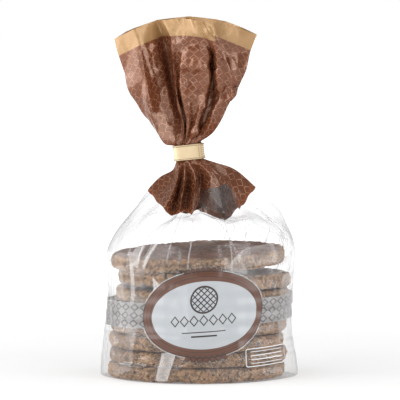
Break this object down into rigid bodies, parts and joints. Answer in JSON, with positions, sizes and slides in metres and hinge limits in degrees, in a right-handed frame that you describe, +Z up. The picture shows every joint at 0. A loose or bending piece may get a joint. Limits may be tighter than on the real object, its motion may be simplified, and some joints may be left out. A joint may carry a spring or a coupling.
{
  "type": "bag of stroopwafels",
  "caption": "Clear film bag standing on its base with a stack of round syrup waffles inside, its printed top gathered and flared above a flat gold tie.",
  "frame": {"origin": "middle of the bag's footprint, on the surface it stands on", "axes": "+Z up along the bag's height; -Y is the labelled front; +X is to the right seen from the front"},
  "size_m": [0.11, 0.102, 0.1992],
  "materials": {
    "printed_film": "glossy brown printed film above, clear film over brown waffles below",
    "clear_film": "clear glossy film with a printed oval label and a pale diamond band",
    "waffle": "matte baked spice waffle, darker on its pressed faces",
    "syrup": "dark sticky syrup between the two wafers",
    "gold_strip": "satin pale gold plastic strip"
  },
  "bodies": {
    "root": {"bag": "printed_film", "tie": "gold_strip"}
  },
  "joints": []
}
